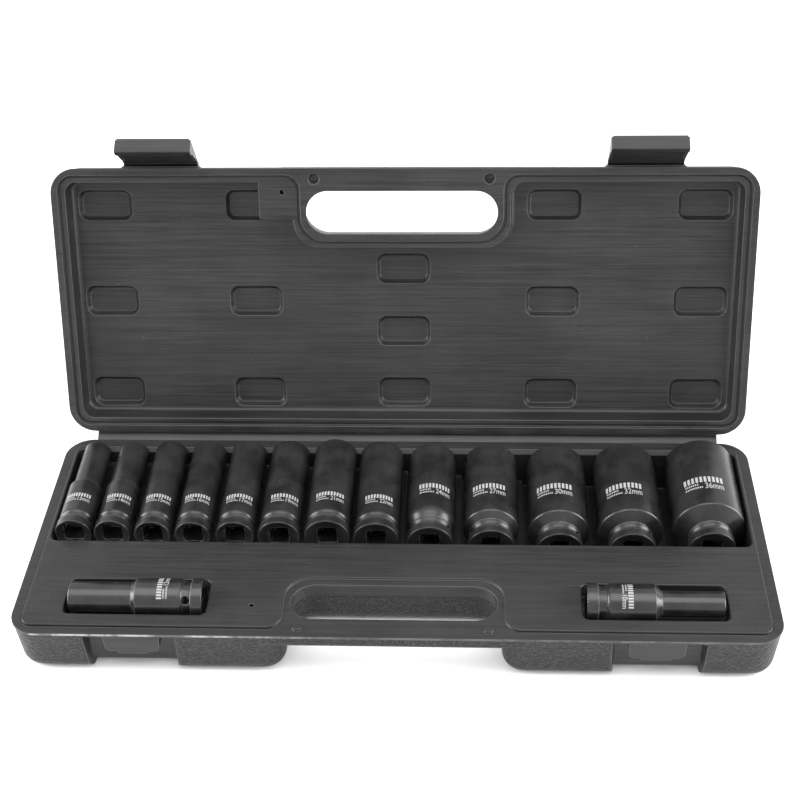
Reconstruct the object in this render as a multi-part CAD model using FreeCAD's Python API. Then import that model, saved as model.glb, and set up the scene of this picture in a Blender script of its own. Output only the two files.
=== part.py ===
import FreeCAD, Part
import math
import os

# Socket set in a folding case. Millimetres. Origin at the middle of the base's underside,
# +X to the right, +Y back towards the hinge, +Z up. The lid is modelled standing open.

# Case
CASE_W = 465.0          # over the rim flange, left to right
CASE_D = 184.0          # over the rim flange, front to back
CORNER_R = 17.5         # plan radius of the case corners
DRAFT = 3.5             # how far the outer walls lean in over their height
SKIN = 1.6              # wall of the two outer shells
INNER_SKIN = 1.2        # wall of the tray and of the lid panel
FLASH = 0.4             # how far the parting flange stands out past the outer walls
BASE_FILLET = 10.0      # rounding round the base's underside
LID_FILLET = 7.0        # rounding round the lid's top
RIM_Z = 35.0            # top of the base's rim flange
PARTING_GAP = 0.2       # between the two rims when closed
LID_RIM_Z = RIM_Z + PARTING_GAP
LID_TOP_Z = 59.0        # lid's outer face when closed
FLANGE = 1.2            # thickness of the rim flanges

# Handle, a bar across a slot in each half
SLOT_HALF_L = 63.0
SLOT_FRONT = 15.3       # from the case's front edge
SLOT_BACK = 43.9
BAR_BOTTOM_Z = 25.5
LID_BAR_TOP_Z = 44.5
MOUTH_R = 16.0          # how the finger space widens towards the front
HANDLE_STEP_HALF_L = 68.4
PEG_X = 57.4
PEG_FROM_FRONT = 7.25
PEG_R = 2.75
PEG_H = 1.5
PEG_DIMPLE_R = 3.6
PEG_DIMPLE_DEPTH = 2.0

# Raised deck of the base tray
DECK_EDGE = 6.0         # from the case's edge to the deck
DECK_UP = 1.2
DECK_CORNER_R = 6.8
CREASE_W = 0.9
CREASE_DEPTH = 0.7
CREASE_BACK_Y = -75.0   # the crease runs along the front edge up to here
CREASE_HANDLE_X = 90.0  # and round the handle
EDGE_ROUND = 0.8
VENT_HOLE_R = 1.5
VENT_HOLE_X = -86.5
VENT_HOLE_FROM_FRONT = 25.0

# Pocket for the row of sockets
ROW_HALF_W = 223.4
ROW_CORNER_R = 5.0
ROW_FRONT_Y = -11.2
ROW_BACK_Y = 80.4
ROW_BACK_BEVEL = 2.5    # bevel along the pocket's rear edge
RIDGE_DROP = 0.95       # how far ridges stay below each socket's axis, in socket radii
CRADLE_CLEARANCE = 0.2

# Pockets for the two smallest sockets
SIDE_POCKET_X = 157.75
SIDE_POCKET_L = 87.5
SIDE_POCKET_Y = -60.65
SIDE_POCKET_W = 29.5
SIDE_POCKET_R = 4.0
SIDE_POCKET_SHOULDER_Z = 26.0

# Latches and the recesses they close into
LATCH_X = 158.5
LATCH_HALF_W = 24.6
LATCH_AXIS_Y = -94.4
LATCH_AXIS_Z = 41.0
LATCH_BEAD_R = 1.4
LATCH_PLATE = 2.0
LATCH_END_Z = 12.9
LATCH_HOOK_IN = 6.8
LATCH_HOOK_H = 4.9
LATCH_CHEEK_Z = 37.0     # top of the two triangular cheeks
LATCH_PULL = 0.6
LEFT_LATCH_OPEN = 39.5   # degrees away from latched, as modelled
RIGHT_LATCH_OPEN = 42.0
RECESS_HALF_W = 28.0
RECESS_FLOOR_HALF_W = 26.0
RECESS_FOOT_R = 9.0      # how the recess rolls into the underside
RECESS_FLOOR_Y = -83.0
RECESS_TOP_Z = 32.4
PAD_X = 157.0
PAD_TOP_HALF_W = 17.2
PAD_BOTTOM_HALF_W = 16.4
PAD_CORNER_R = 3.5
PAD_FACE_Y = -91.2
PAD_BOTTOM_Z = 20.2
PAD_LIP_HALF_W = 9.1
PAD_LIP_Z = 18.4

# Hinge web, folded along a bead at each long edge
WEB_HALF_L = 214.5
WEB_W = 10.1
WEB_T = 0.8
WEB_BEAD_R = 1.1
WEB_Y = 93.2
LID_OPEN = 108.36        # degrees, as modelled
RUNNING_FIT = 0.05

# Lid panel
LID_GROOVE_FROM = 4.6    # groove round the lid rim, from the case's edge
LID_BEAD_FROM = 6.0
LID_BEAD_TO = 9.3
LID_BEAD_DROP = 1.5
LID_GROOVE_DROP = 2.4
LID_GROOVE_CORNER_R = 10.5
LID_BEAD_CORNER_R = 8.5
HOLLOW_CORNER_R = 8.0
HOLLOW_ROUND_HANDLE = 3.0  # bead's width where it passes the handle
PANEL_DEPTH = 16.5       # panel below the lid's rim
PANEL_WALL_RUN = 0.7
PANEL_FOOT_R = 3.0
DIMPLE_L = 36.0
DIMPLE_W = 21.0
DIMPLE_DEPTH = 4.0
DIMPLE_RUN = 2.2
DIMPLE_R = 6.0
DIMPLE_ROWS = (28.0, 94.3, 160.2)        # from the case's front edge
DIMPLE_COLUMNS = (-200.3, -100.8, 100.8, 200.3)
MIDDLE_DIMPLES = (71.5, 115.5, 159.8)
BLOCK_X = (-94.4, -68.0)
BLOCK_FROM_FRONT = (8.0, 35.0)
BLOCK_HOLE_X = -78.9
BLOCK_HOLE_FROM_FRONT = 16.3
BLOCK_HOLE_R = 1.6

# Sockets
SOCKET_L = 83.0
SQUARE = 12.8            # drive square across flats
SQUARE_DEPTH = 15.0
CROSS_HOLE_R = 2.6
HEX_SHARE = 0.48         # hexagon depth, as a share of the length
ROW_SOCKET_FRONT_Y = -4.9
SHOULDER = {27: 16.6, 30: 17.2, 32: 16.8, 36: 19.2}   # from the drive end, by size

V = FreeCAD.Vector
X_AXIS = V(1, 0, 0)
FRONT_Y = -CASE_D / 2


def box(x0, x1, y0, y1, z0, z1):
    return Part.makeBox(x1 - x0, y1 - y0, z1 - z0, V(x0, y0, z0))


def rod_x(radius, x0, x1, y, z):
    return Part.makeCylinder(radius, x1 - x0, V(x0, y, z), V(1, 0, 0))


def rod_y(radius, y0, y1, x, z):
    return Part.makeCylinder(radius, y1 - y0, V(x, y0, z), V(0, 1, 0))


def rod_z(radius, z0, z1, x, y):
    return Part.makeCylinder(radius, z1 - z0, V(x, y, z0), V(0, 0, 1))


def join(shapes):
    """One shape from several that overlap."""
    return shapes[0].multiFuse(shapes[1:]).removeSplitter()


def rounded_wire(corners, z):
    """Closed wire at height z through (x, y, corner radius) corners."""
    edges = []
    spans = []
    for i, (x, y, radius) in enumerate(corners):
        here = V(x, y, z)
        before = V(corners[i - 1][0], corners[i - 1][1], z)
        after = V(corners[(i + 1) % len(corners)][0], corners[(i + 1) % len(corners)][1], z)
        back = (before - here).normalize()
        on = (after - here).normalize()
        half = back.getAngle(on) / 2
        run = radius / math.tan(half)
        middle = here + (back + on).normalize() * (radius / math.sin(half) - radius)
        spans.append((here + back * run, middle, here + on * run, radius))
    for i, (start, middle, end, radius) in enumerate(spans):
        if radius > 0:
            edges.append(Part.Arc(start, middle, end).toShape())
        following = spans[(i + 1) % len(spans)][0]
        if end.distanceToPoint(following) > 1e-4:
            edges.append(Part.makeLine(end, following))
    return Part.Wire(edges)


def prism(corners, z0, z1):
    return Part.Face(rounded_wire(corners, z0)).extrude(V(0, 0, z1 - z0))


def tapered(low, z0, high, z1):
    return Part.makeLoft([rounded_wire(low, z0), rounded_wire(high, z1)], True, True)


def rectangle(x0, x1, y0, y1, radius):
    return [(x0, y0, radius), (x1, y0, radius), (x1, y1, radius), (x0, y1, radius)]


def case_outline(inset):
    w = CASE_W / 2 - inset
    d = CASE_D / 2 - inset
    return rectangle(-w, w, -d, d, CORNER_R - inset)


def notched_outline(inset):
    """The case's outline with the finger space cut out of its front."""
    w = CASE_W / 2 - inset
    d = CASE_D / 2 - inset
    half = SLOT_HALF_L + inset
    back = FRONT_Y + SLOT_BACK + inset
    corner = (SLOT_BACK - SLOT_FRONT) / 2
    return [
        (-w, -d, CORNER_R - inset),
        (-half, -d, MOUTH_R - inset),
        (-half, back, corner + inset),
        (half, back, corner + inset),
        (half, -d, MOUTH_R - inset),
        (w, -d, CORNER_R - inset),
        (w, d, CORNER_R - inset),
        (-w, d, CORNER_R - inset),
    ]


def stepped_outline(inset, around_handle, radius):
    """Outline a fixed distance in from the rim, stepping back round the handle."""
    w = CASE_W / 2 - inset
    d = CASE_D / 2 - inset
    half = HANDLE_STEP_HALF_L + around_handle
    back = FRONT_Y + 50.3 + around_handle
    return [
        (-w, -d, radius),
        (-half, -d, 9.5),
        (-half, back, 17.0),
        (half, back, 17.0),
        (half, -d, 9.5),
        (w, -d, radius),
        (w, d, radius),
        (-w, d, radius),
    ]


def slot_hole(z0, z1):
    front = FRONT_Y + SLOT_FRONT
    back = FRONT_Y + SLOT_BACK
    radius = (back - front) / 2 - 0.01
    return prism(rectangle(-SLOT_HALF_L, SLOT_HALF_L, front, back, radius), z0, z1)


def edges_at(shape, z):
    """Edges lying flat at height z."""
    found = []
    for edge in shape.Edges:
        bounds = edge.BoundBox
        if abs(bounds.ZMin - z) < 1e-3 and abs(bounds.ZMax - z) < 1e-3:
            found.append(edge)
    return found


def handle_bar(z0, z1, rounded_z):
    """Bar across the finger space, its two long edges rounded at height rounded_z."""
    back = FRONT_Y + SLOT_FRONT
    reach = SLOT_HALF_L + MOUTH_R
    bar = box(-reach, reach, FRONT_Y + FLASH, back, z0, z1)
    long_edges = [e for e in edges_at(bar, rounded_z) if e.Length > reach]
    return bar.makeFillet(3.5, long_edges)


# ---- Sockets ------------------------------------------------------------------------------

class Socket:
    """One socket: its hexagon, outside sizes, and the turn of its cross hole from upright."""

    def __init__(self, size, nose, body, collar, cross_turn):
        self.size = size
        self.nose_r = nose / 2
        self.body_r = body / 2
        self.collar_r = collar / 2
        self.cross_turn = cross_turn

    def widest(self):
        return max(self.nose_r, self.body_r, self.collar_r)


# size, nose, body and collar diameters, cross hole turn, X, axis above the rim
ROW = [
    (Socket(13, 19.0, 23.0, 24.0, 100), -209.8, 0.3),
    (Socket(14, 20.6, 23.0, 24.0, 95), -184.6, 0.1),
    (Socket(15, 22.8, 23.0, 24.0, 110), -158.5, -0.5),
    (Socket(16, 23.6, 23.6, 23.6, -72), -132.4, -0.5),
    (Socket(17, 24.6, 24.6, 25.0, -72), -105.0, -0.6),
    (Socket(19, 26.6, 26.6, 27.4, 95), -76.6, -1.2),
    (Socket(21, 29.0, 29.0, 29.4, 95), -45.6, -0.8),
    (Socket(22, 29.8, 29.8, 29.8, 95), -14.3, -3.0),
    (Socket(24, 32.0, 32.0, 29.6, 66), 20.2, -5.6),
    (Socket(27, 36.0, 36.0, 30.0, 100), 59.4, -8.0),
    (Socket(30, 39.6, 39.6, 30.0, 62), 103.3, -10.4),
    (Socket(32, 42.0, 42.0, 30.0, 62), 149.4, -9.9),
    (Socket(36, 46.5, 46.5, 30.0, 95), 199.8, -8.5),
]
SMALLEST = Socket(10, 15.8, 24.0, 24.6, -60)
SECOND = Socket(12, 19.0, 24.0, 24.6, -52)
SIDE_SOCKET_AXIS_UP = 0.0


def profile_edges(points):
    """Edges through points; a point marked 'bend' is the middle of an arc."""
    edges = []
    i = 0
    while i < len(points) - 1:
        start = V(points[i][1], points[i][0], 0)
        following = points[i + 1]
        if len(following) == 3:
            end = points[i + 2]
            edges.append(Part.Arc(start, V(following[1], following[0], 0),
                                  V(end[1], end[0], 0)).toShape())
            i += 2
        else:
            edges.append(Part.makeLine(start, V(following[1], following[0], 0)))
            i += 1
    return edges


def socket_profile(s, collar_l, groove_end):
    """(distance from the drive end, radius) points down the outside of a socket."""
    points = [(0.0, 0.0), (0.0, s.collar_r - 0.6), (0.18, s.collar_r - 0.18, "bend"),
              (0.7, s.collar_r), (collar_l, s.collar_r)]
    if s.body_r > 1.04 * s.collar_r:
        neck_r = s.collar_r - 2.0
        ridge = 13.0
        shoulder = SHOULDER.get(s.size, 17.5)
        points += [(collar_l + 0.5, neck_r), (collar_l + 3.0, neck_r - 0.2, "bend"),
                   (ridge - 2.0, s.collar_r - 1.0), (ridge - 1.0, s.collar_r - 0.7),
                   (ridge, s.collar_r - 1.3)]
        if s.size > 24:
            points += [(shoulder - 0.4, s.body_r - 0.5), (shoulder + 0.3, s.body_r)]
        else:
            points += [(ridge + 3.5, s.body_r - 0.6, "bend"), (shoulder + 3.0, s.body_r)]
    else:
        neck_r = min(s.body_r, s.collar_r) - 1.8
        lowest = collar_l + 0.45 * (groove_end - collar_l)
        points += [(collar_l + 0.4, neck_r + 0.2), (lowest, neck_r, "bend"),
                   (groove_end - 1.4, s.body_r - 1.5), (groove_end - 0.2, s.body_r - 0.45, "bend"),
                   (groove_end + 2.0, s.body_r)]
    step = 0.5 * SOCKET_L
    if s.body_r - s.nose_r > 0.5:
        points += [(step - 0.4, s.body_r), (step + 0.2, s.body_r - 0.6),
                   (step + 0.2 + 0.9 * (s.body_r - s.nose_r), s.nose_r)]
    points += [(SOCKET_L - 1.2, s.nose_r), (SOCKET_L - 0.4, s.nose_r - 0.35, "bend"),
               (SOCKET_L, s.nose_r - 1.2), (SOCKET_L, 0.0)]
    return points


def hexagon(across_flats, y0, y1):
    """Hexagonal prism along Y with slightly rounded corners."""
    corner = across_flats / math.sqrt(3)
    ring = [V(corner * math.cos(math.radians(60 * k + 30)), y0,
              corner * math.sin(math.radians(60 * k + 30))) for k in range(7)]
    prism_shape = Part.Face(Part.makePolygon(ring)).extrude(V(0, y1 - y0, 0))
    return prism_shape.common(rod_y(0.975 * corner, y0, y1, 0, 0))


def make_socket(s, collar_l, groove_end):
    """A socket along +Y, drive end at the origin."""
    points = socket_profile(s, collar_l, groove_end)
    edges = profile_edges(points)
    edges.append(Part.makeLine(V(0, SOCKET_L, 0), V(0, 0, 0)))
    body = Part.Face(Part.Wire(edges)).revolve(V(0, 0, 0), V(0, 1, 0), 360)
    half = SQUARE / 2
    square = box(-half, half, -1, SQUARE_DEPTH, -half, half)
    square = square.common(rod_y(0.93 * half * math.sqrt(2), -1, SQUARE_DEPTH, 0, 0))
    entry = Part.makeCone(s.collar_r - 0.9, 8.0, 3.0, V(0, 0, 0), V(0, 1, 0))
    hex_start = SOCKET_L * (1 - HEX_SHARE)
    hexagon_hole = hexagon(s.size + 0.1, hex_start, SOCKET_L + 1)
    lead_r = 0.5 * s.size * 1.12
    lead = Part.makeCone(lead_r - 0.8, lead_r + 0.4, 1.2, V(0, SOCKET_L - 1.2, 0), V(0, 1, 0))
    bore = rod_y(min(0.44 * s.size, 7.0), SQUARE_DEPTH - 1, hex_start + 1, 0, 0)
    middle = 0.5 * (collar_l + groove_end) if s.body_r <= 1.04 * s.collar_r else 8.2
    cross = Part.makeCylinder(CROSS_HOLE_R, 80, V(0, middle, -40), V(0, 0, 1))
    cross.rotate(V(0, 0, 0), V(0, 1, 0), s.cross_turn)
    return body.cut(Part.Compound([square, entry, hexagon_hole, lead, bore, cross]))


def row_sockets():
    placed = {}
    for s, x, up in ROW:
        shape = make_socket(s, 5.6, 10.8)
        shape.translate(V(x, ROW_SOCKET_FRONT_Y, RIM_Z + up))
        placed["socket_%dmm" % s.size] = shape
    return placed


def side_sockets():
    placed = {}
    for s, side in ((SECOND, -1), (SMALLEST, 1)):
        shape = make_socket(s, 6.8, 13.4)
        shape.rotate(V(0, 0, 0), V(0, 0, 1), -90 * side)
        drive_x = side * (SIDE_POCKET_X - SOCKET_L / 2)
        shape.translate(V(drive_x, SIDE_POCKET_Y, RIM_Z + SIDE_SOCKET_AXIS_UP))
        placed["socket_%dmm" % s.size] = shape
    return placed


# ---- Base ---------------------------------------------------------------------------------

def recess(side, grow):
    """Space the latch closes into, open at the front and underneath."""
    x = side * LATCH_X
    front = FRONT_Y - 3.0
    deep = RECESS_FLOOR_Y + grow
    wide = RECESS_HALF_W + grow + 0.8
    narrow = RECESS_FLOOR_HALF_W + grow
    corners = [(x - wide, front, 0), (x + wide, front, 0), (x + narrow, deep, 2.5),
               (x - narrow, deep, 2.5)]
    space = prism(corners, -1.0, RECESS_TOP_Z + grow)
    foot_y = RECESS_FLOOR_Y + RECESS_FOOT_R
    foot = box(x - narrow, x + narrow, deep - 1.0, foot_y, -1.0, RECESS_FOOT_R)
    roll = rod_x(RECESS_FOOT_R - grow, x - 40, x + 40, foot_y, RECESS_FOOT_R)
    return space.fuse(foot.cut(roll))


def catch_pad(side):
    """Pad standing out of the recess, with the lip the latch hooks under."""
    x = side * PAD_X
    back = RECESS_FLOOR_Y + 0.5
    top = RECESS_TOP_Z + 0.5
    outline = [(x - PAD_BOTTOM_HALF_W, PAD_BOTTOM_Z, PAD_CORNER_R),
               (x + PAD_BOTTOM_HALF_W, PAD_BOTTOM_Z, PAD_CORNER_R),
               (x + PAD_TOP_HALF_W, top, 0), (x - PAD_TOP_HALF_W, top, 0)]
    pad = prism(outline, -back, -PAD_FACE_Y)
    pad.rotate(V(0, 0, 0), X_AXIS, 90)
    lip = box(x - PAD_LIP_HALF_W, x + PAD_LIP_HALF_W, PAD_FACE_Y, back, PAD_LIP_Z, PAD_BOTTOM_Z + 1)
    return pad.fuse(lip)


def outer_tub(inset, fillet):
    """Drafted solid of the base, fillet round its underside, up to the rim flange."""
    flange_z = RIM_Z - FLANGE
    low = notched_outline(DRAFT + inset)
    high = notched_outline(FLASH + inset)
    tub = tapered(low, inset, high, flange_z)
    return tub.makeFillet(fillet, edges_at(tub, inset))


def hinge_rail(z0, z1, axis_z):
    """Rail along the rear wall that carries one bead of the hinge web."""
    rail = box(-WEB_HALF_L, WEB_HALF_L, CASE_D / 2 - 3.0, WEB_Y, z0, z1)
    groove = rod_x(WEB_BEAD_R + RUNNING_FIT, -WEB_HALF_L - 1, WEB_HALF_L + 1, WEB_Y, axis_z)
    return rail.cut(groove)


def base_outer_shell():
    flange_z = RIM_Z - FLANGE
    outer = outer_tub(0.0, BASE_FILLET)
    inner = outer_tub(SKIN, BASE_FILLET - SKIN)
    bar = handle_bar(BAR_BOTTOM_Z, flange_z, BAR_BOTTOM_Z)
    shell = outer
    for side in (-1, 1):
        shell = shell.cut(recess(side, 0.0))
        inner = inner.cut(recess(side, SKIN))
    shell = shell.cut(inner)
    shell = shell.fuse(bar.cut(inner))
    for side in (-1, 1):
        shell = shell.fuse(catch_pad(side))
    axis_z = RIM_Z - WEB_W / 2
    shell = shell.fuse(hinge_rail(axis_z - 2.6, axis_z, axis_z))
    return shell.cut(slot_hole(20.0, 40.0)).removeSplitter()


def row_pocket(grow):
    """Space for the row of sockets: a cradle under each, low ridges between them."""
    y0 = ROW_FRONT_Y - grow
    y1 = ROW_BACK_Y + grow
    top = RIM_Z + 3.0
    parts = []
    for i, (s, x, up) in enumerate(ROW):
        axis_z = RIM_Z + up
        radius = s.widest() + CRADLE_CLEARANCE + grow
        left = -ROW_HALF_W
        right = ROW_HALF_W
        if i > 0:
            left = 0.5 * (x + ROW[i - 1][1])
        if i < len(ROW) - 1:
            right = 0.5 * (x + ROW[i + 1][1])
        ridge_z = axis_z - RIDGE_DROP * s.widest()
        parts.append(box(left - grow, right + grow, y0, y1, ridge_z - grow, top))
        parts.append(rod_y(radius, y0, y1, x, axis_z))
        low_x = max(x - radius, -ROW_HALF_W - grow)
        high_x = min(x + radius, ROW_HALF_W + grow)
        parts.append(box(low_x, high_x, y0, y1, axis_z, top))
    around = rectangle(-ROW_HALF_W - grow, ROW_HALF_W + grow, y0, y1, ROW_CORNER_R + grow)
    return join(parts).common(prism(around, 0.0, top))


def row_back_bevel(deck_z):
    """Wedge that bevels the rear edge of the row's pocket."""
    end = ROW_HALF_W - ROW_CORNER_R
    low = deck_z - ROW_BACK_BEVEL
    corners = [V(-end, ROW_BACK_Y - 1.0, low), V(-end, ROW_BACK_Y, low),
               V(-end, ROW_BACK_Y + 1.05 * ROW_BACK_BEVEL, deck_z + 0.1),
               V(-end, ROW_BACK_Y - 1.0, deck_z + 0.1), V(-end, ROW_BACK_Y - 1.0, low)]
    return Part.Face(Part.makePolygon(corners)).extrude(V(2 * end, 0, 0))


def side_pocket(side, grow):
    """Space for one of the two smallest sockets."""
    x = side * SIDE_POCKET_X
    half = SIDE_POCKET_L / 2 + grow
    y0 = SIDE_POCKET_Y - SIDE_POCKET_W / 2 - grow
    y1 = SIDE_POCKET_Y + SIDE_POCKET_W / 2 + grow
    mouth = prism(rectangle(x - half, x + half, y0, y1, SIDE_POCKET_R + grow),
                  SIDE_POCKET_SHOULDER_Z - grow, RIM_Z + 3.0)
    radius = SECOND.widest() + CRADLE_CLEARANCE + grow
    cradle = rod_x(radius, x - half, x + half, SIDE_POCKET_Y, RIM_Z + SIDE_SOCKET_AXIS_UP)
    return mouth.fuse(cradle)


def base_inner_tray():
    flange_z = RIM_Z - FLANGE
    deck_z = RIM_Z + DECK_UP
    plate = prism(case_outline(0.0), flange_z, RIM_Z)
    deck_outline = stepped_outline(DECK_EDGE + CREASE_W, -CREASE_W, DECK_CORNER_R)
    crease = prism(stepped_outline(DECK_EDGE, 0.0, DECK_CORNER_R + CREASE_W),
                   RIM_Z - CREASE_DEPTH, RIM_Z + 5)
    crease = crease.cut(prism(deck_outline, 0, RIM_Z + 6))
    along_front = box(-CASE_W, CASE_W, -CASE_D, CREASE_BACK_Y, 0, RIM_Z + 6)
    near_handle = box(-CREASE_HANDLE_X, CREASE_HANDLE_X, -CASE_D, 0, 0, RIM_Z + 6)
    crease = crease.common(along_front.fuse(near_handle))
    deck = prism(deck_outline, flange_z, deck_z)
    pockets_out = [row_pocket(INNER_SKIN)] + [side_pocket(side, INNER_SKIN) for side in (-1, 1)]
    pockets_in = [row_pocket(0.0)] + [side_pocket(side, 0.0) for side in (-1, 1)]
    below = box(-CASE_W, CASE_W, -CASE_D, CASE_D, -5.0, RIM_Z - 0.1)
    tray = plate.cut(crease).fuse(deck)
    tray = tray.fuse([p.common(below) for p in pockets_out])
    tray = tray.cut(pockets_in).removeSplitter()
    tray = tray.makeFillet(EDGE_ROUND, edges_at(tray, deck_z))
    tray = tray.cut([row_back_bevel(deck_z), slot_hole(20.0, 40.0)])
    for side in (-1, 1):
        peg = rod_z(PEG_R, RIM_Z - 0.3, RIM_Z + PEG_H, side * PEG_X, FRONT_Y + PEG_FROM_FRONT)
        tray = tray.fuse(peg.makeFillet(0.5, edges_at(peg, RIM_Z + PEG_H)))
    vent = rod_z(VENT_HOLE_R, flange_z - 1, deck_z + 1, VENT_HOLE_X, FRONT_Y + VENT_HOLE_FROM_FRONT)
    return tray.cut(vent).removeSplitter()


# ---- Lid, laid out closed -------------------------------------------------------------------

def lid_block(inset, fillet):
    """Drafted solid of the lid, from its rim flange up."""
    flange_z = LID_RIM_Z + FLANGE
    low = notched_outline(FLASH + inset)
    high = notched_outline(DRAFT + inset)
    block = tapered(low, flange_z, high, LID_TOP_Z - inset)
    return block.makeFillet(fillet, edges_at(block, LID_TOP_Z - inset))


def latch_rail(side):
    """Lug on the lid's front that carries the latch, with a bulge along the rim below it."""
    x = side * LATCH_X
    lug = box(x - LATCH_HALF_W, x + LATCH_HALF_W, LATCH_AXIS_Y, FRONT_Y + 2.2,
              LATCH_AXIS_Z, LATCH_AXIS_Z + 3.2)
    bulge_low = LID_RIM_Z + FLANGE
    bulge = prism([(x - 27.5, FRONT_Y + 1.5, 0), (x - 25.0, FRONT_Y - 1.0, 0),
                   (x + 25.0, FRONT_Y - 1.0, 0), (x + 27.5, FRONT_Y + 1.5, 0)],
                  bulge_low, LATCH_AXIS_Z + 0.5)
    groove = rod_x(LATCH_BEAD_R + RUNNING_FIT, x - 30, x + 30, LATCH_AXIS_Y, LATCH_AXIS_Z)
    return lug.fuse(bulge).cut(groove)


def lid_outer_shell():
    flange_z = LID_RIM_Z + FLANGE
    inner = lid_block(SKIN, LID_FILLET - SKIN)
    shell = lid_block(0.0, LID_FILLET).cut(inner)
    shell = shell.fuse(handle_bar(flange_z, LID_BAR_TOP_Z, LID_BAR_TOP_Z).cut(inner))
    for side in (-1, 1):
        shell = shell.fuse(latch_rail(side))
    axis_z = RIM_Z + WEB_W / 2
    shell = shell.fuse(hinge_rail(axis_z, axis_z + 2.6, axis_z))
    shell = shell.cut(slot_hole(30.0, 60.0))
    for side in (-1, 1):
        shell = shell.cut(rod_z(PEG_DIMPLE_R, RIM_Z - 1, LID_RIM_Z + PEG_DIMPLE_DEPTH,
                                side * PEG_X, FRONT_Y + PEG_FROM_FRONT))
    return shell.removeSplitter()


def panel_recess(grow):
    """Hollow of the lid, from its bead down to the panel."""
    panel_z = LID_RIM_Z + PANEL_DEPTH
    mouth = stepped_outline(LID_BEAD_TO - grow, HOLLOW_ROUND_HANDLE - grow, HOLLOW_CORNER_R + grow)
    lean = PANEL_WALL_RUN
    foot = stepped_outline(LID_BEAD_TO + lean - grow, HOLLOW_ROUND_HANDLE + lean - grow,
                           HOLLOW_CORNER_R - lean + grow)
    hollow = tapered(mouth, LID_RIM_Z + grow, foot, panel_z + grow)
    return hollow.makeFillet(PANEL_FOOT_R, edges_at(hollow, panel_z + grow))


def dimple(x, from_front, grow):
    y = FRONT_Y + from_front
    top = LID_RIM_Z + PANEL_DEPTH
    half_l = DIMPLE_L / 2 + grow
    half_w = DIMPLE_W / 2 + grow
    mouth = rectangle(x - half_l, x + half_l, y - half_w, y + half_w, DIMPLE_R + grow)
    half_l -= DIMPLE_RUN
    half_w -= DIMPLE_RUN
    floor = rectangle(x - half_l, x + half_l, y - half_w, y + half_w, DIMPLE_R - 1.8 + grow)
    hollow = tapered(mouth, top - 0.01 + grow, floor, top + DIMPLE_DEPTH + grow)
    return hollow.makeFillet(1.0, edges_at(hollow, top + DIMPLE_DEPTH + grow))


def dimple_places():
    places = [(x, y) for x in DIMPLE_COLUMNS for y in DIMPLE_ROWS]
    return places + [(0.0, y) for y in MIDDLE_DIMPLES]


def lid_inner_panel():
    flange_z = LID_RIM_Z + FLANGE
    bead_z = LID_RIM_Z + LID_BEAD_DROP
    groove_z = LID_RIM_Z + LID_GROOVE_DROP
    panel_z = LID_RIM_Z + PANEL_DEPTH
    around = LID_BEAD_FROM - DECK_EDGE
    plate = prism(case_outline(0.0), LID_RIM_Z, flange_z).cut(slot_hole(30.0, 60.0))
    band = prism(stepped_outline(LID_GROOVE_FROM - 1.0, around - 2.4, LID_GROOVE_CORNER_R + 1.0),
                 LID_RIM_Z, groove_z + FLANGE)
    panel = plate.fuse(band).fuse(panel_recess(INNER_SKIN))
    step = prism(stepped_outline(LID_GROOVE_FROM, around - 1.4, LID_GROOVE_CORNER_R),
                 LID_RIM_Z - 1, groove_z)
    bead = prism(stepped_outline(LID_BEAD_FROM, around, LID_BEAD_CORNER_R), bead_z, groove_z + 0.5)
    bead = bead.makeFillet(0.7, edges_at(bead, bead_z))
    panel = panel.cut(step).fuse(bead)
    panel = panel.cut(panel_recess(0.0))
    for x, from_front in dimple_places():
        panel = panel.fuse(dimple(x, from_front, INNER_SKIN))
    panel = panel.cut([dimple(x, from_front, 0.0) for x, from_front in dimple_places()])
    block = prism(rectangle(BLOCK_X[0], BLOCK_X[1], FRONT_Y + BLOCK_FROM_FRONT[0],
                            FRONT_Y + BLOCK_FROM_FRONT[1], 2.0),
                  bead_z, panel_z + DIMPLE_DEPTH + INNER_SKIN)
    block = block.makeFillet(0.7, edges_at(block, bead_z))
    behind = dimple(DIMPLE_COLUMNS[1], DIMPLE_ROWS[0], INNER_SKIN)
    block = block.common(panel_recess(INNER_SKIN).fuse(behind))
    hole = rod_z(BLOCK_HOLE_R, bead_z - 1, bead_z + 7, BLOCK_HOLE_X,
                 FRONT_Y + BLOCK_HOLE_FROM_FRONT)
    panel = panel.fuse(block).cut(hole)
    for side in (-1, 1):
        panel = panel.cut(rod_z(PEG_DIMPLE_R, LID_RIM_Z - 1, flange_z + 1, side * PEG_X,
                                FRONT_Y + PEG_FROM_FRONT))
    return panel.removeSplitter()


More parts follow.
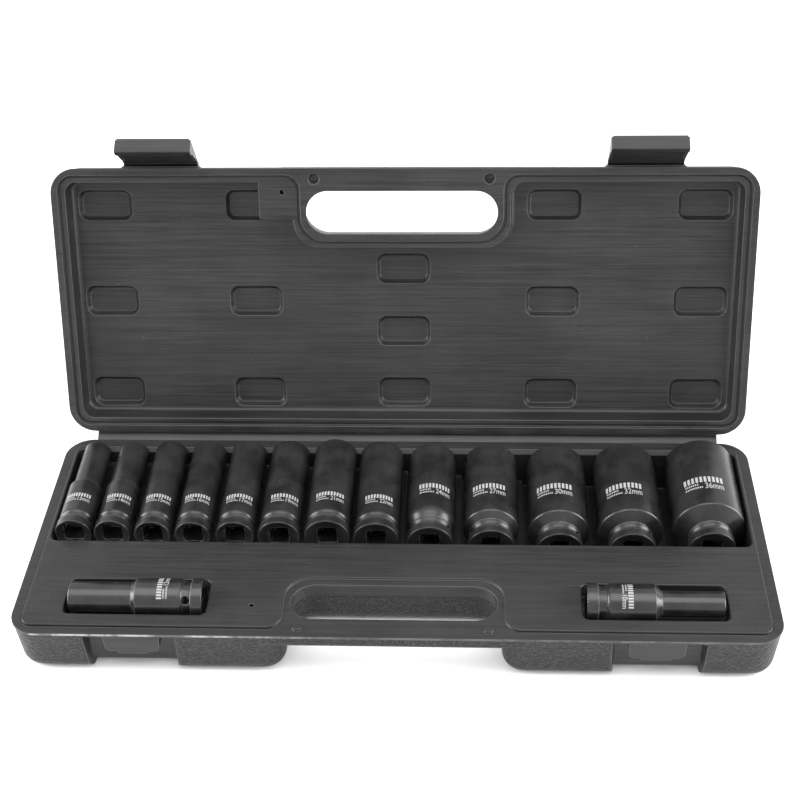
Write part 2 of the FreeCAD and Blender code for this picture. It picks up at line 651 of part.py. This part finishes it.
def latch(side):
    """Latch hanging closed from its bead, hook at the lower end."""
    x0 = side * LATCH_X - LATCH_HALF_W
    x1 = side * LATCH_X + LATCH_HALF_W
    face = LATCH_AXIS_Y - 0.2 + LATCH_PLATE / 2
    plate = box(x0, x1, face - LATCH_PLATE, face, LATCH_END_Z, LATCH_AXIS_Z)
    bead = rod_x(LATCH_BEAD_R, x0, x1, LATCH_AXIS_Y, LATCH_AXIS_Z)
    hook = box(x0, x1, face - 0.5, face + LATCH_HOOK_IN, LATCH_END_Z,
               LATCH_END_Z + LATCH_HOOK_H)
    tip = [e for e in hook.Edges if e.Length > 2 * LATCH_HALF_W - 1
           and abs(e.BoundBox.YMin - face - LATCH_HOOK_IN) < 1e-3]
    hook = hook.makeFillet(0.6, tip)
    pull = box(x0 + 1, x1 - 1, face - LATCH_PLATE - 0.6, face - LATCH_PLATE + 0.8,
               LATCH_END_Z - LATCH_PULL, LATCH_END_Z + 2.5)
    parts = [bead, hook, pull]
    for x in (x0, x1 - 1.6):
        corners = [V(x, face - 0.5, LATCH_CHEEK_Z), V(x, face, LATCH_CHEEK_Z),
                   V(x, face + LATCH_HOOK_IN - 0.4, LATCH_END_Z + 1.5),
                   V(x, face - 0.5, LATCH_END_Z + 1.5), V(x, face - 0.5, LATCH_CHEEK_Z)]
        parts.append(Part.Face(Part.makePolygon(corners)).extrude(V(1.6, 0, 0)))
    return join([plate] + parts)


def hinge_web():
    """Web standing upright between its two beads, as when the case is closed."""
    low = RIM_Z - WEB_W / 2
    high = RIM_Z + WEB_W / 2
    web = box(-WEB_HALF_L, WEB_HALF_L, WEB_Y - WEB_T / 2, WEB_Y + WEB_T / 2, low, high)
    beads = [rod_x(WEB_BEAD_R, -WEB_HALF_L, WEB_HALF_L, WEB_Y, z) for z in (low, high)]
    return join([web] + beads)


# ---- Open the case --------------------------------------------------------------------------

LOWER_FOLD = V(0, WEB_Y, RIM_Z - WEB_W / 2)
UPPER_FOLD = V(0, WEB_Y, RIM_Z + WEB_W / 2)


def swing_web(shape):
    shape.rotate(LOWER_FOLD, X_AXIS, -LID_OPEN / 2)
    return shape


def swing_lid(shape):
    shape.rotate(UPPER_FOLD, X_AXIS, -LID_OPEN / 2)
    return swing_web(shape)


def open_latch(shape, degrees):
    shape.rotate(V(0, LATCH_AXIS_Y, LATCH_AXIS_Z), X_AXIS, -degrees)
    return swing_lid(shape)


def build():
    nodes = {
        "base_outer_shell": base_outer_shell(),
        "base_inner_tray": base_inner_tray(),
        "hinge_web": swing_web(hinge_web()),
        "lid_outer_shell": swing_lid(lid_outer_shell()),
        "lid_inner_panel": swing_lid(lid_inner_panel()),
        "latch_left": open_latch(latch(-1), LEFT_LATCH_OPEN),
        "latch_right": open_latch(latch(1), RIGHT_LATCH_OPEN),
    }
    nodes.update(row_sockets())
    nodes.update(side_sockets())
    return nodes


os.makedirs("parts", exist_ok=True)
for name, shape in build().items():
    solids = shape.Solids
    if len(solids) != 1 or not shape.isValid():
        print("CHECK", name, "solids", len(solids), "valid", shape.isValid())
    solid = solids[0]
    solid.exportStep("parts/%s.step" % name)
    bounds = solid.BoundBox
    print("%-18s volume %9.0f  X %7.1f..%6.1f  Y %7.1f..%6.1f  Z %6.1f..%6.1f" % (
        name, solid.Volume, bounds.XMin, bounds.XMax, bounds.YMin, bounds.YMax,
        bounds.ZMin, bounds.ZMax))
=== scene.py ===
"""Socket set in a folding case: materials, size marks, camera, floor and light, in metres."""
import math

import bmesh
import bpy
from mathutils import Matrix, Vector


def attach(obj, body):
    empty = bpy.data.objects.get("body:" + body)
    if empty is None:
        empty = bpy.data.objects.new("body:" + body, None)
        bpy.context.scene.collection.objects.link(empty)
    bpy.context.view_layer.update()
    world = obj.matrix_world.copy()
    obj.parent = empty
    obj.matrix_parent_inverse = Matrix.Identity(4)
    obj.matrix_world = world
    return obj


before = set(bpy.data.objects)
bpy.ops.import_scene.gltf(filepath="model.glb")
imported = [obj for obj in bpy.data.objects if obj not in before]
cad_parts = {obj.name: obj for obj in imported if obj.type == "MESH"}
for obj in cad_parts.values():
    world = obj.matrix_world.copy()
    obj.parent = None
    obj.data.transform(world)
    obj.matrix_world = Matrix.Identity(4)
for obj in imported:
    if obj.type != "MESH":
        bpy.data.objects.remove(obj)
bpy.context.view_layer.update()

# ---- Sizes ----------------------------------------------------------------------------------

RIM_Z = 0.035             # top of the base's rim
WEB_Y = 0.0932            # fold lines of the hinge web, with the case closed
WEB_W = 0.0101
LID_OPEN = math.radians(108.36)
LATCH_X = 0.1585
RECESS_HALF_W = 0.0285    # recess that each latch closes into
RECESS_TOP_Z = 0.0326
RECESS_BACK_Y = -0.0745
SLOT_HALF_W = 0.066       # the base's handle slot
SMOOTH_ABOVE_Z = 0.025    # inside the handle slot, the wall is smooth above this height
FRONT_FACE_Y = -0.0885    # the grained front face lies in front of this
RAIL_HALF_W = 0.0275      # rail on the lid's front that each latch hangs from
RAIL_BACK_Y = -0.0915
FLASH_BACK_Y = -0.0914    # the painted highlight along the rim's flash line lies in front of this
FLASH_FULL_X = -0.10      # it is strongest left of this
FLASH_FAINT_X = -0.04     # and faint right of this

SOCKET_L = 0.083
ROW_FRONT_Y = -0.0049
SIDE_X = 0.15775          # middle of the two smallest sockets
SIDE_Y = -0.06065
SIDE_BODY_R = 0.012
SIDE_MARK_ALONG = 0.0255  # mark's distance from their drive end
SIDE_MARK_W = 0.018
SIDE_MARK_TOP_H = 0.0042
MARK_THICKNESS = 0.00004
MARK_SINK = 0.00001       # how deep a mark lies in the steel
MARK_STEP = 0.0005        # distance between the cuts that let a mark bend
MARK_BLOCKS = 10
DIGIT_H = 0.72            # height of a digit, as a share of the font's size

# Row sockets: size, X, axis above the rim, radius where marked, mark's turn in degrees,
# mark's distance from the drive end, width round the socket, height of the top line.
ROW_MARKS = [
    (13, -0.2098, 0.0003, 0.01150, -2, 0.0255, 0.0175, 0.0044),
    (14, -0.1846, 0.0001, 0.01150, 7, 0.0252, 0.0175, 0.0044),
    (15, -0.1585, -0.0005, 0.01150, 6, 0.0260, 0.0180, 0.0044),
    (16, -0.1324, -0.0005, 0.01180, 3, 0.0260, 0.0182, 0.0044),
    (17, -0.1050, -0.0006, 0.01230, 4, 0.0258, 0.0192, 0.0046),
    (19, -0.0766, -0.0012, 0.01330, 11, 0.0259, 0.0200, 0.0046),
    (21, -0.0456, -0.0008, 0.01450, 3, 0.0264, 0.0198, 0.0048),
    (22, -0.0143, -0.0030, 0.01490, 5, 0.0260, 0.0195, 0.0048),
    (24, 0.0202, -0.0056, 0.01600, 10, 0.0386, 0.0222, 0.0058),
    (27, 0.0594, -0.0080, 0.01800, -5, 0.0394, 0.0232, 0.0060),
    (30, 0.1033, -0.0104, 0.01980, -9, 0.0405, 0.0250, 0.0064),
    (32, 0.1494, -0.0099, 0.02100, -12, 0.0395, 0.0252, 0.0066),
    (36, 0.1998, -0.0085, 0.02325, -8, 0.0418, 0.0270, 0.0070),
]

# Side sockets: size, -1 for left or 1 for right, mark's turn to the front in degrees.
SIDE_MARKS = [
    (12, -1, 7),
    (10, 1, 18),
]

CAMERA_AT = (0.04741, -0.70468, 0.68944)
CAMERA_YAW = math.radians(-3.534)
CAMERA_DOWN = math.radians(37.76)
CAMERA_ROLL = math.radians(-1.872)
LENS_MM = 67.34
FLOOR_HALF_W = 4
FLOOR_FRONT_Y = -3
FLOOR_BACK_Y = 5
OVERHEAD_WATTS = 19.0
SIDE_WATTS = 38.0

BLACK = 0.014             # how much light the black plastic scatters back
PALE_DUST_AND_HIGHLIGHT = 0.16               # the same for dust and for the painted highlight along edges
FLASH_HIGHLIGHT_PALE = 0.34         # and for the painted highlight along the flash line on the base's rim
PLASTIC_GLOSS = 0.32
STREAK_SHARE = 0.75       # streaks' share of the plastic's unevenness, patches make the rest
EDGE_HIGHLIGHT = 0.55          # how far the edges turn pale with painted highlight
STEEL_BLACK = 0.012       # how much light the sockets scatter back
STEEL_PALE_WEAR_AND_HIGHLIGHT = 0.30         # the same where they are rubbed, and for the painted highlight along their edges
WORLD_STRENGTH = 1.2


def opened():
    """Where the lid's material goes when the lid opens: two equal folds of the web."""
    low = Vector((0, WEB_Y, RIM_Z - WEB_W / 2))
    high = Vector((0, WEB_Y, RIM_Z + WEB_W / 2))
    half = Matrix.Rotation(-LID_OPEN / 2, 4, "X")
    first = Matrix.Translation(high) @ half @ Matrix.Translation(-high)
    second = Matrix.Translation(low) @ half @ Matrix.Translation(-low)
    return second @ first


# ---- Materials ------------------------------------------------------------------------------

class Recipe:
    """A material being put together from nodes."""

    def __init__(self, name):
        self.material = bpy.data.materials.new(name)
        self.material.use_nodes = True
        self.tree = self.material.node_tree
        self.tree.nodes.clear()
        self.output = self.tree.nodes.new("ShaderNodeOutputMaterial")
        self.shader = self.tree.nodes.new("ShaderNodeBsdfPrincipled")
        self.join(self.shader.outputs["BSDF"], self.output.inputs["Surface"])

    def join(self, source, target):
        self.tree.links.new(source, target)

    def feed(self, target, value):
        if isinstance(value, bpy.types.NodeSocket):
            self.join(value, target)
        else:
            target.default_value = value

    def place(self, to_local=Matrix.Identity(4), stretch=(1, 1, 1)):
        """Object coordinates, turned back to the closed lid's where asked, then stretched."""
        coordinates = self.tree.nodes.new("ShaderNodeTexCoord").outputs["Object"]
        turned = self.tree.nodes.new("ShaderNodeMapping")
        turned.inputs["Location"].default_value = to_local.to_translation()
        turned.inputs["Rotation"].default_value = to_local.to_euler()
        self.join(coordinates, turned.inputs["Vector"])
        stretched = self.tree.nodes.new("ShaderNodeMapping")
        stretched.inputs["Scale"].default_value = stretch
        self.join(turned.outputs["Vector"], stretched.inputs["Vector"])
        return stretched.outputs["Vector"]

    def noise(self, place, scale, detail=2.0, roughness=0.5):
        node = self.tree.nodes.new("ShaderNodeTexNoise")
        node.inputs["Scale"].default_value = scale
        node.inputs["Detail"].default_value = detail
        node.inputs["Roughness"].default_value = roughness
        self.join(place, node.inputs["Vector"])
        return node.outputs["Fac"]

    def cells(self, place, scale):
        node = self.tree.nodes.new("ShaderNodeTexVoronoi")
        node.feature = "SMOOTH_F1"
        node.inputs["Scale"].default_value = scale
        node.inputs["Smoothness"].default_value = 0.6
        self.join(place, node.inputs["Vector"])
        return node.outputs["Distance"]

    def split(self, vector):
        node = self.tree.nodes.new("ShaderNodeSeparateXYZ")
        self.join(vector, node.inputs["Vector"])
        return node.outputs["X"], node.outputs["Y"], node.outputs["Z"]

    def math(self, operation, first, second=0.0):
        node = self.tree.nodes.new("ShaderNodeMath")
        node.operation = operation
        self.feed(node.inputs[0], first)
        self.feed(node.inputs[1], second)
        return node.outputs["Value"]

    def spread(self, value, low, high, to_low=0.0, to_high=1.0):
        """Value from low..high taken smoothly to to_low..to_high."""
        node = self.tree.nodes.new("ShaderNodeMapRange")
        node.interpolation_type = "SMOOTHSTEP"
        self.join(value, node.inputs["Value"])
        node.inputs["From Min"].default_value = low
        node.inputs["From Max"].default_value = high
        node.inputs["To Min"].default_value = to_low
        node.inputs["To Max"].default_value = to_high
        return node.outputs["Result"]

    def mix(self, share, first, second):
        node = self.tree.nodes.new("ShaderNodeMix")
        node.data_type = "RGBA"
        self.feed(node.inputs["Factor"], share)
        self.feed(node.inputs["A"], first)
        self.feed(node.inputs["B"], second)
        return node.outputs["Result"]

    def rounded(self, radius):
        """Normal that rounds sharp edges over this radius."""
        node = self.tree.nodes.new("ShaderNodeBevel")
        node.samples = 6
        node.inputs["Radius"].default_value = radius
        return node.outputs["Normal"]

    def edges(self, radius, low, high):
        """Nearly 1 along sharp edges and 0 on flat ground."""
        bent = self.rounded(radius)
        geometry = self.tree.nodes.new("ShaderNodeNewGeometry")
        dot = self.tree.nodes.new("ShaderNodeVectorMath")
        dot.operation = "DOT_PRODUCT"
        self.join(bent, dot.inputs[0])
        self.join(geometry.outputs["Normal"], dot.inputs[1])
        off = self.math("SUBTRACT", 1.0, dot.outputs["Value"])
        return self.spread(off, low, high)

    def bump(self, height, strength, distance, normal):
        node = self.tree.nodes.new("ShaderNodeBump")
        node.inputs["Strength"].default_value = strength
        node.inputs["Distance"].default_value = distance
        self.join(height, node.inputs["Height"])
        self.join(normal, node.inputs["Normal"])
        return node.outputs["Normal"]


def grey(value, warm=0.0):
    return (value * (1 + warm), value, value * (1 - warm), 1.0)


def grain_height(recipe, place):
    """Moulded leather grain, cells about a millimetre across."""
    wander = recipe.noise(place, 350.0, 2.0)
    fine = recipe.cells(place, 950.0)
    coarse = recipe.cells(place, 520.0)
    height = recipe.math("ADD", recipe.math("MULTIPLY", fine, 0.6),
                         recipe.math("MULTIPLY", coarse, 0.5))
    return recipe.math("ADD", height, recipe.math("MULTIPLY", wander, 0.35))


def streak_height(recipe, to_local):
    """Fine lines along the case, left by the mould."""
    fine = recipe.noise(recipe.place(to_local, (22, 1500, 1500)), 1.0, 3.0, 0.6)
    broad = recipe.noise(recipe.place(to_local, (10, 420, 420)), 1.0, 2.0, 0.5)
    return recipe.math("ADD", recipe.math("MULTIPLY", fine, 0.72),
                       recipe.math("MULTIPLY", broad, 0.28))


def specks(recipe, place, amount):
    """Sparse pale specks of dust and scuffs."""
    dots = recipe.spread(recipe.noise(place, 900.0, 1.0), 0.72, 0.78)
    where = recipe.spread(recipe.noise(place, 30.0, 2.0), 0.45, 0.65)
    return recipe.math("MULTIPLY", recipe.math("MULTIPLY", dots, where), amount)


def rim_flash_highlight(recipe, place):
    """Broken line of painted highlight along the flash on the front edge of the base's rim."""
    x, y, _ = recipe.split(place)
    edge = recipe.spread(y, FLASH_BACK_Y - 0.0005, FLASH_BACK_Y, 1.0, 0.0)
    along = recipe.noise(recipe.place(stretch=(60, 4, 4)), 1.0, 4.0, 0.7)
    broken = recipe.spread(along, 0.42, 0.60, 0.15, 1.0)
    left = recipe.spread(x, FLASH_FULL_X, FLASH_FAINT_X, 1.0, 0.15)
    return recipe.math("MULTIPLY", edge, recipe.math("MULTIPLY", broken, left))


def plastic(name, tone, to_local=Matrix.Identity(4), grained=None, flash_highlight=None, streaky=1.0):
    """Black polyethylene: streaked where smooth, pebbled where grained says so."""
    recipe = Recipe(name)
    shader = recipe.shader
    place = recipe.place(to_local)
    streaks = streak_height(recipe, to_local)
    patches = recipe.noise(place, 16.0, 4.0, 0.6)
    middle = STREAK_SHARE / 2
    swing = middle * streaky
    level = recipe.math("ADD", recipe.spread(streaks, 0.32, 0.68, middle - swing, middle + swing),
                        recipe.spread(patches, 0.3, 0.7, 0.0, 1 - STREAK_SHARE))
    base = recipe.mix(level, grey(0.25 * tone), grey(2.1 * tone, 0.02))
    # Painted highlight along sharp edges, then joined with pale dust specks.
    edge = recipe.edges(0.0010, 0.012, 0.20)
    edge_highlight_and_wear = recipe.math("MULTIPLY", edge, EDGE_HIGHLIGHT)
    dust_and_edge_highlight = recipe.math("MAXIMUM", edge_highlight_and_wear, specks(recipe, place, 0.35))
    roughness = recipe.spread(streaks, 0.25, 0.75, 0.27, 0.45)
    normal = recipe.bump(streaks, 0.30, 0.0003, recipe.rounded(0.0009))
    if grained is not None:
        amount = grained(recipe, place)
        grain = grain_height(recipe, place)
        height = recipe.math("MULTIPLY", grain, amount)
        normal = recipe.bump(height, 1.0, 0.0007, normal)
        roughness = recipe.math("ADD", roughness, recipe.math("MULTIPLY", amount, 0.04))
        # Painted shade in the grain's hollows and painted light on its tops.
        grain_hollow_shade = recipe.spread(grain, 0.35, 0.75)
        grain_light_and_shade = recipe.mix(grain_hollow_shade, grey(3.0 * tone), grey(0.15 * tone))
        base = recipe.mix(amount, base, grain_light_and_shade)
    colour = recipe.mix(dust_and_edge_highlight, base, grey(PALE_DUST_AND_HIGHLIGHT))
    # Painted highlight along the rim's flash line, where asked.
    if flash_highlight is not None:
        colour = recipe.mix(flash_highlight(recipe, place), colour, grey(FLASH_HIGHLIGHT_PALE))
    recipe.join(colour, shader.inputs["Base Color"])
    recipe.join(roughness, shader.inputs["Roughness"])
    recipe.join(normal, shader.inputs["Normal"])
    shader.inputs["Specular IOR Level"].default_value = PLASTIC_GLOSS
    return recipe.material


def distance_from_latch(recipe, x):
    """Distance along X from the middle of the nearer latch."""
    from_middle = recipe.math("ABSOLUTE", x)
    return recipe.math("ABSOLUTE", recipe.math("SUBTRACT", from_middle, LATCH_X))


def base_grained(recipe, place):
    """1 on the outer walls, 0 in the latch recesses and high up inside the handle slot."""
    x, y, z = recipe.split(place)
    from_latch = distance_from_latch(recipe, x)
    beside = recipe.spread(from_latch, RECESS_HALF_W - 0.0002, RECESS_HALF_W + 0.0008)
    above = recipe.spread(z, RECESS_TOP_Z - 0.0005, RECESS_TOP_Z)
    behind = recipe.spread(y, RECESS_BACK_Y - 0.0005, RECESS_BACK_Y)
    outside = recipe.math("MAXIMUM", recipe.math("MAXIMUM", beside, above), behind)
    from_middle = recipe.math("ABSOLUTE", x)
    in_slot = recipe.spread(from_middle, SLOT_HALF_W, SLOT_HALF_W + 0.002, 1.0, 0.0)
    not_front = recipe.spread(y, FRONT_FACE_Y - 0.001, FRONT_FACE_Y)
    high = recipe.spread(z, SMOOTH_ABOVE_Z - 0.001, SMOOTH_ABOVE_Z)
    smooth = recipe.math("MULTIPLY", recipe.math("MULTIPLY", in_slot, not_front), high)
    return recipe.math("MULTIPLY", outside, recipe.math("SUBTRACT", 1.0, smooth))


def lid_grained(recipe, place):
    """1 on the lid's outside, 0 on the latch rails."""
    x, y, _ = recipe.split(place)
    beside = recipe.spread(distance_from_latch(recipe, x), RAIL_HALF_W, RAIL_HALF_W + 0.0007)
    behind = recipe.spread(y, RAIL_BACK_Y - 0.001, RAIL_BACK_Y)
    return recipe.math("MAXIMUM", beside, behind)


def steel(name, tone, roughness, gloss):
    """Black phosphated steel, paler along its edges: rubbed, and with a painted highlight."""
    recipe = Recipe(name)
    shader = recipe.shader
    place = recipe.place()
    mottle = recipe.noise(place, 60.0, 4.0, 0.6)
    fine = recipe.noise(place, 2600.0, 3.0, 0.7)
    # Paler edges, unevenly: rubbed steel and painted highlight, then pale dust specks.
    edge = recipe.edges(0.0005, 0.010, 0.10)
    rub = recipe.spread(recipe.noise(place, 240.0, 3.0), 0.35, 0.65, 0.40, 1.0)
    edge_highlight_and_wear = recipe.math("MULTIPLY", recipe.math("MULTIPLY", edge, rub), 0.75)
    edge_highlight_and_wear = recipe.math("MAXIMUM", edge_highlight_and_wear, specks(recipe, place, 0.30))
    base = recipe.mix(recipe.spread(mottle, 0.3, 0.7), grey(0.6 * tone), grey(1.4 * tone))
    recipe.join(recipe.mix(edge_highlight_and_wear, base, grey(STEEL_PALE_WEAR_AND_HIGHLIGHT)), shader.inputs["Base Color"])
    shader.inputs["Metallic"].default_value = 0.0
    shader.inputs["Specular IOR Level"].default_value = gloss
    rough = recipe.spread(mottle, 0.25, 0.75, roughness - 0.04, roughness + 0.05)
    recipe.join(rough, shader.inputs["Roughness"])
    recipe.join(recipe.bump(fine, 0.12, 0.00006, recipe.rounded(0.0004)),
                shader.inputs["Normal"])
    return recipe.material


def etched(name):
    """Pale laser-etched marks."""
    recipe = Recipe(name)
    speckle = recipe.noise(recipe.place(), 3000.0, 2.0)
    level = recipe.spread(speckle, 0.3, 0.7, 0.75, 1.0)
    recipe.join(recipe.mix(level, grey(0.06), grey(0.32, 0.01)),
                recipe.shader.inputs["Base Color"])
    recipe.shader.inputs["Roughness"].default_value = 0.6
    return recipe.material


def floor_material():
    """Matt white with a very faint unevenness."""
    recipe = Recipe("floor_white")
    speckle = recipe.noise(recipe.place(), 4.0, 2.0)
    level = recipe.spread(speckle, 0.3, 0.7, 0.99, 1.0)
    recipe.join(recipe.mix(level, grey(0.80), grey(0.92)), recipe.shader.inputs["Base Color"])
    recipe.shader.inputs["Roughness"].default_value = 0.9
    recipe.shader.inputs["Specular IOR Level"].default_value = 0.1
    return recipe.material


closed_lid = opened().inverted()
finishes = {
    "base_outer_shell": plastic("case_grained_base", BLACK, grained=base_grained),
    "lid_outer_shell": plastic("case_grained_lid", BLACK, closed_lid, lid_grained),
    "base_inner_tray": plastic("case_smooth_base", BLACK, flash_highlight=rim_flash_highlight, streaky=0.5),
    "lid_inner_panel": plastic("case_smooth_lid", BLACK, closed_lid, streaky=0.8),
    # Painted light: 1.5 times the plastic's tone makes the hinge web look lit.
    "hinge_web": plastic("case_smooth_web_painted_light", 1.5 * BLACK),
    "latch_left": plastic("latch_left_plastic", BLACK, closed_lid),
    "latch_right": plastic("latch_right_plastic", BLACK, closed_lid),
}
socket_steel = steel("socket_black_steel", STEEL_BLACK, 0.30, 0.44)
side_steel = steel("side_socket_black_steel", STEEL_BLACK, 0.25, 0.52)
etched_mark = etched("etched_mark")

for name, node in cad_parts.items():
    if name in finishes:
        finish = finishes[name]
    elif name in ("socket_10mm", "socket_12mm"):
        finish = side_steel
    else:
        finish = socket_steel
    node.data.materials.clear()
    node.data.materials.append(finish)


# ---- Size marks on the sockets --------------------------------------------------------------

def cut_across(mesh, width):
    """Cuts a flat mark into strips that follow each other along X, so that it can bend."""
    low = min(v.co.x for v in mesh.verts)
    steps = int(width / MARK_STEP) + 2
    for k in range(1, steps):
        everything = mesh.verts[:] + mesh.edges[:] + mesh.faces[:]
        bmesh.ops.bisect_plane(mesh, geom=everything, plane_co=(low + MARK_STEP * k, 0, 0),
                               plane_no=(1, 0, 0))


def add_block(mesh, x0, x1, y0, y1):
    """Flat block of a mark's thickness."""
    size = Vector((x1 - x0, y1 - y0, MARK_THICKNESS))
    middle = Vector(((x0 + x1) / 2, (y0 + y1) / 2, MARK_THICKNESS / 2))
    made = bmesh.ops.create_cube(mesh, size=1.0)
    bmesh.ops.transform(mesh, matrix=Matrix.Translation(middle) @ Matrix.Diagonal(
        (*size, 1.0)), verts=made["verts"])


def size_text(text, height):
    """Flat mesh of a size such as 24mm, its lower left corner at the origin."""
    curve = bpy.data.curves.new("size_text", "FONT")
    curve.body = text
    curve.size = height / DIGIT_H
    curve.extrude = MARK_THICKNESS / 2
    curve.offset = 0.00003
    curve.resolution_u = 3
    holder = bpy.data.objects.new("size_text", curve)
    made = bpy.data.meshes.new_from_object(holder)
    bpy.data.objects.remove(holder)
    bpy.data.curves.remove(curve)
    low_x = min(v.co.x for v in made.vertices)
    low_y = min(v.co.y for v in made.vertices)
    for v in made.vertices:
        v.co.x -= low_x
        v.co.y -= low_y
        v.co.z += MARK_THICKNESS / 2
    return made


def flat_mark(size, width, top_h):
    """The whole mark laid flat: a row of plain blocks, two rows of small ones and the size."""
    mesh = bmesh.new()
    pitch = width / MARK_BLOCKS
    for k in range(MARK_BLOCKS):
        x = -width / 2 + k * pitch
        add_block(mesh, x + 0.19 * pitch, x + 0.81 * pitch, -0.24 * top_h, 0.5 * top_h)
    small_pitch = 0.05 * width
    for line_y, count in ((-0.62 * top_h, 7), (-1.04 * top_h, 9)):
        for k in range(count):
            x = -0.46 * width + k * small_pitch
            add_block(mesh, x, x + 0.6 * small_pitch, line_y, line_y + 0.22 * top_h)
    text = size_text("%dmm" % size, 0.80 * top_h)
    text_w = max(v.co.x for v in text.vertices)
    squeeze = 0.46 * width / text_w
    text.transform(Matrix.Translation((0.03 * width, -1.14 * top_h, 0))
                   @ Matrix.Diagonal((squeeze, 1.0, 1.0, 1.0)))
    mesh.from_mesh(text)
    bpy.data.meshes.remove(text)
    cut_across(mesh, width)
    return mesh


def mark(size, radius, width, top_h, place, body):
    """Mark bent round a socket whose axis is the local Y axis of place, drive end towards -Y."""
    mesh = flat_mark(size, width, top_h)
    for v in mesh.verts:
        turn = v.co.x / radius
        out = radius - MARK_SINK + v.co.z
        v.co = place @ Vector((out * math.sin(turn), v.co.y, out * math.cos(turn)))
    data = bpy.data.meshes.new("mark_%dmm" % size)
    mesh.to_mesh(data)
    mesh.free()
    data.materials.append(etched_mark)
    piece = bpy.data.objects.new("mark_%dmm" % size, data)
    bpy.context.scene.collection.objects.link(piece)
    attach(piece, body)


for size, x, up, radius, turn, along, width, top_h in ROW_MARKS:
    axis = Matrix.Translation((x, ROW_FRONT_Y + along, RIM_Z + up))
    turned = Matrix.Rotation(math.radians(turn), 4, "Y")
    mark(size, radius, width, top_h, axis @ turned, "socket_%dmm_body" % size)

for size, side, forward in SIDE_MARKS:
    drive_x = side * (SIDE_X - SOCKET_L / 2)
    axis = Matrix.Translation((drive_x + side * SIDE_MARK_ALONG, SIDE_Y, RIM_Z))
    along_x = Matrix.Rotation(math.radians(-90 * side), 4, "Z")
    turned = Matrix.Rotation(math.radians(side * forward), 4, "Y")
    mark(size, SIDE_BODY_R, SIDE_MARK_W, SIDE_MARK_TOP_H, axis @ along_x @ turned,
         "socket_%dmm_body" % size)


# ---- Floor, light and camera ----------------------------------------------------------------

def add_floor():
    mesh = bpy.data.meshes.new("floor")
    corners = [(-FLOOR_HALF_W, FLOOR_FRONT_Y, 0), (FLOOR_HALF_W, FLOOR_FRONT_Y, 0),
               (FLOOR_HALF_W, FLOOR_BACK_Y, 0), (-FLOOR_HALF_W, FLOOR_BACK_Y, 0)]
    mesh.from_pydata(corners, [], [(0, 1, 2, 3)])
    mesh.materials.append(floor_material())
    floor = bpy.data.objects.new("floor", mesh)
    bpy.context.scene.collection.objects.link(floor)


def add_panel_light(name, at, aim, size, power):
    lamp = bpy.data.lights.new(name, "AREA")
    lamp.shape = "RECTANGLE"
    lamp.size = size[0]
    lamp.size_y = size[1]
    lamp.energy = power
    holder = bpy.data.objects.new(name, lamp)
    holder.location = at
    direction = Vector(aim) - Vector(at)
    holder.rotation_euler = direction.to_track_quat("-Z", "Y").to_euler()
    bpy.context.scene.collection.objects.link(holder)


def add_camera():
    level = Matrix.Rotation(-CAMERA_YAW, 4, "Z")
    down = Matrix.Rotation(math.pi / 2 - CAMERA_DOWN, 4, "X")
    roll = Matrix.Rotation(CAMERA_ROLL, 4, "Z")
    lens = bpy.data.cameras.new("camera")
    lens.sensor_width = 36.0
    lens.lens = LENS_MM
    lens.clip_start = 0.01
    holder = bpy.data.objects.new("camera", lens)
    holder.matrix_world = Matrix.Translation(CAMERA_AT) @ level @ down @ roll
    bpy.context.scene.collection.objects.link(holder)
    bpy.context.scene.camera = holder


def add_world():
    world = bpy.data.worlds.new("studio")
    world.use_nodes = True
    background = world.node_tree.nodes["Background"]
    background.inputs["Color"].default_value = (1.0, 1.0, 1.0, 1.0)
    background.inputs["Strength"].default_value = WORLD_STRENGTH
    bpy.context.scene.world = world


add_floor()
add_world()
add_panel_light("overhead", (0.0, -0.3, 1.6), (0.0, 0.0, 0.0), (1.6, 1.2), OVERHEAD_WATTS)
for name, side in (("left_side", -1), ("right_side", 1)):
    add_panel_light(name, (1.5 * side, -0.1, 0.5), (0.0, 0.0, 0.05), (0.9, 1.2), SIDE_WATTS)
add_camera()
bpy.context.scene.view_settings.view_transform = "Standard"
